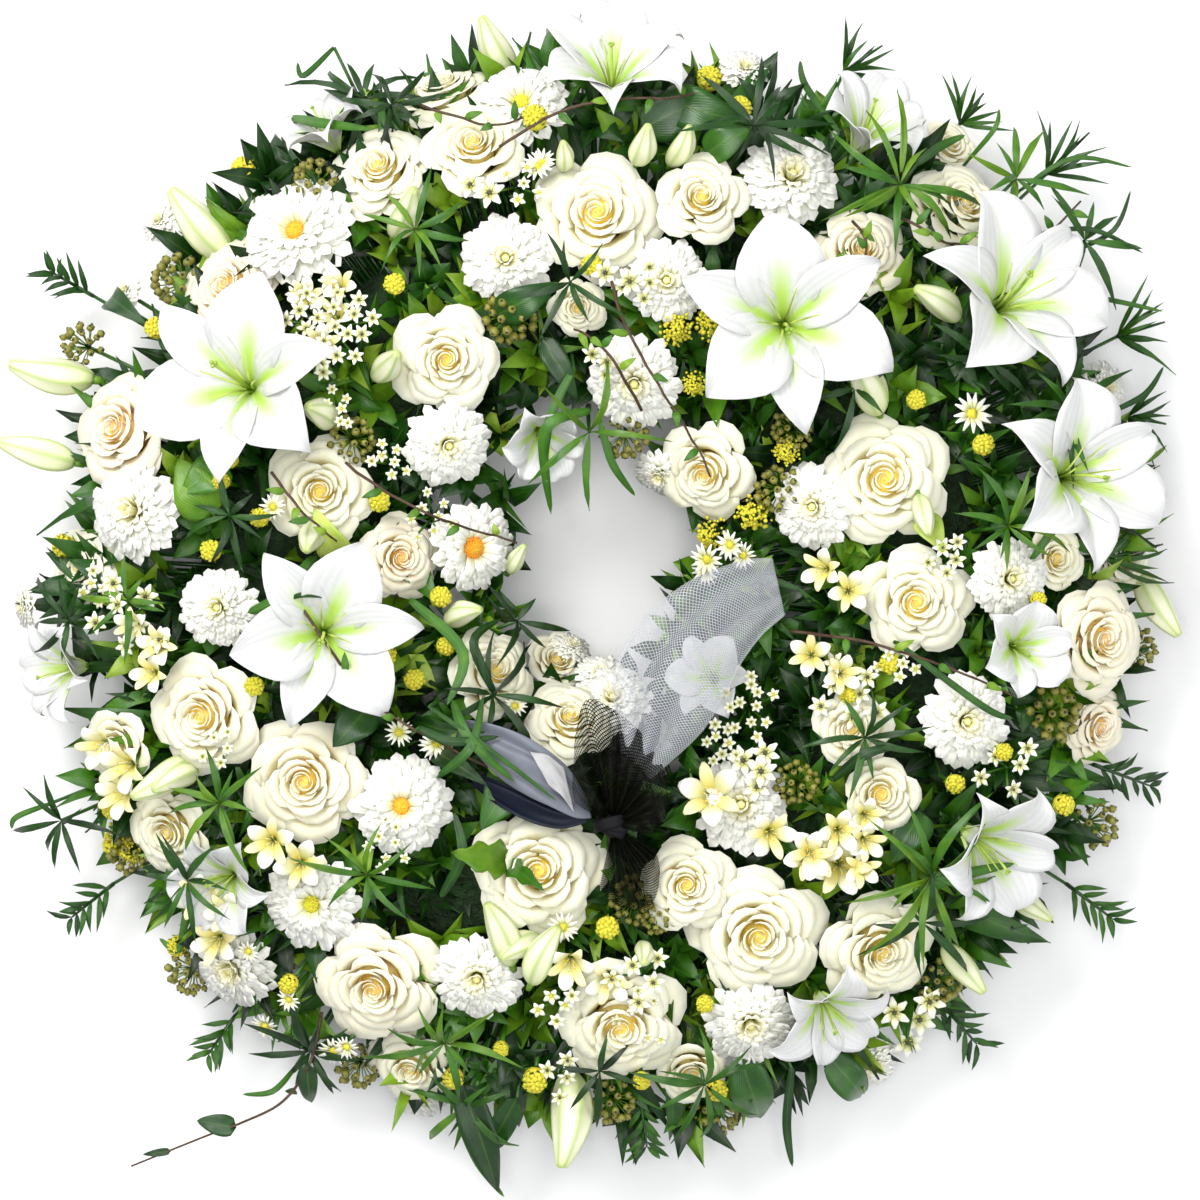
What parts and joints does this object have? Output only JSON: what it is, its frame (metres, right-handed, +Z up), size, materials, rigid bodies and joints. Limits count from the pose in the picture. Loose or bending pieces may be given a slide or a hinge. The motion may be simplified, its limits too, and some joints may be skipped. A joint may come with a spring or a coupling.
{
  "type": "funeral wreath",
  "caption": "Funeral wreath of cream roses, white lilies, chrysanthemums and small flowers in leaves on a foam ring in a tray, with a black and white net bow.",
  "frame": {"origin": "on the table under the middle of the wreath", "axes": "+Z up out of the face of the wreath as it lies flat, +Y towards the top of the wreath as seen in the picture, +X to its right"},
  "size_m": [0.7586, 0.7468, 0.179],
  "materials": {
    "tray": "moulded green plastic tray",
    "foam": "wet green flower foam",
    "leaves": "fresh leaves, satin",
    "rose_petals": "soft cream petals",
    "lily_petals": "waxy white petals",
    "small_flowers": "soft white and yellow florets",
    "bow_fan": "black net",
    "bow_net": "pale fine net",
    "bow_tail": "grey-blue satin"
  },
  "bodies": {
    "root": {"bow_fan": "bow_fan", "bow_net": "bow_net", "bow_tail": "bow_tail", "chrysanthemum_01": "small_flowers", "chrysanthemum_02": "small_flowers", "chrysanthemum_03": "small_flowers", "chrysanthemum_04": "small_flowers", "chrysanthemum_05": "small_flowers", "chrysanthemum_06": "small_flowers", "chrysanthemum_07": "small_flowers", "chrysanthemum_08": "small_flowers", "chrysanthemum_09": "small_flowers", "chrysanthemum_10": "small_flowers", "chrysanthemum_11": "small_flowers", "chrysanthemum_12": "small_flowers", "chrysanthemum_13": "small_flowers", "chrysanthemum_14": "small_flowers", "chrysanthemum_15": "small_flowers", "chrysanthemum_16": "small_flowers", "chrysanthemum_17": "small_flowers", "foam": "foam", "leaves_1": "leaves", "leaves_2": "leaves", "leaves_3": "leaves", "leaves_4": "leaves", "leaves_5": "leaves", "leaves_6": "leaves", "lily_01": "lily_petals", "lily_02": "lily_petals", "lily_03": "lily_petals", "lily_04": "lily_petals", "lily_05": "lily_petals", "lily_06": "lily_petals", "lily_07": "lily_petals", "lily_09": "lily_petals", "lily_10": "lily_petals", "lily_11": "lily_petals", "lily_12": "lily_petals", "lily_13": "lily_petals", "lily_15": "lily_petals", "lily_16": "lily_petals", "rose_01": "rose_petals", "rose_02": "rose_petals", "rose_03": "rose_petals", "rose_04": "rose_petals", "rose_05": "rose_petals", "rose_06": "rose_petals", "rose_07": "rose_petals", "rose_08": "rose_petals", "rose_09": "rose_petals", "rose_10": "rose_petals", "rose_11": "rose_petals", "rose_12": "rose_petals", "rose_13": "rose_petals", "rose_14": "rose_petals", "rose_15": "rose_petals", "rose_16": "rose_petals", "rose_17": "rose_petals", "stars_01": "small_flowers", "tray": "tray"}
  },
  "joints": []
}
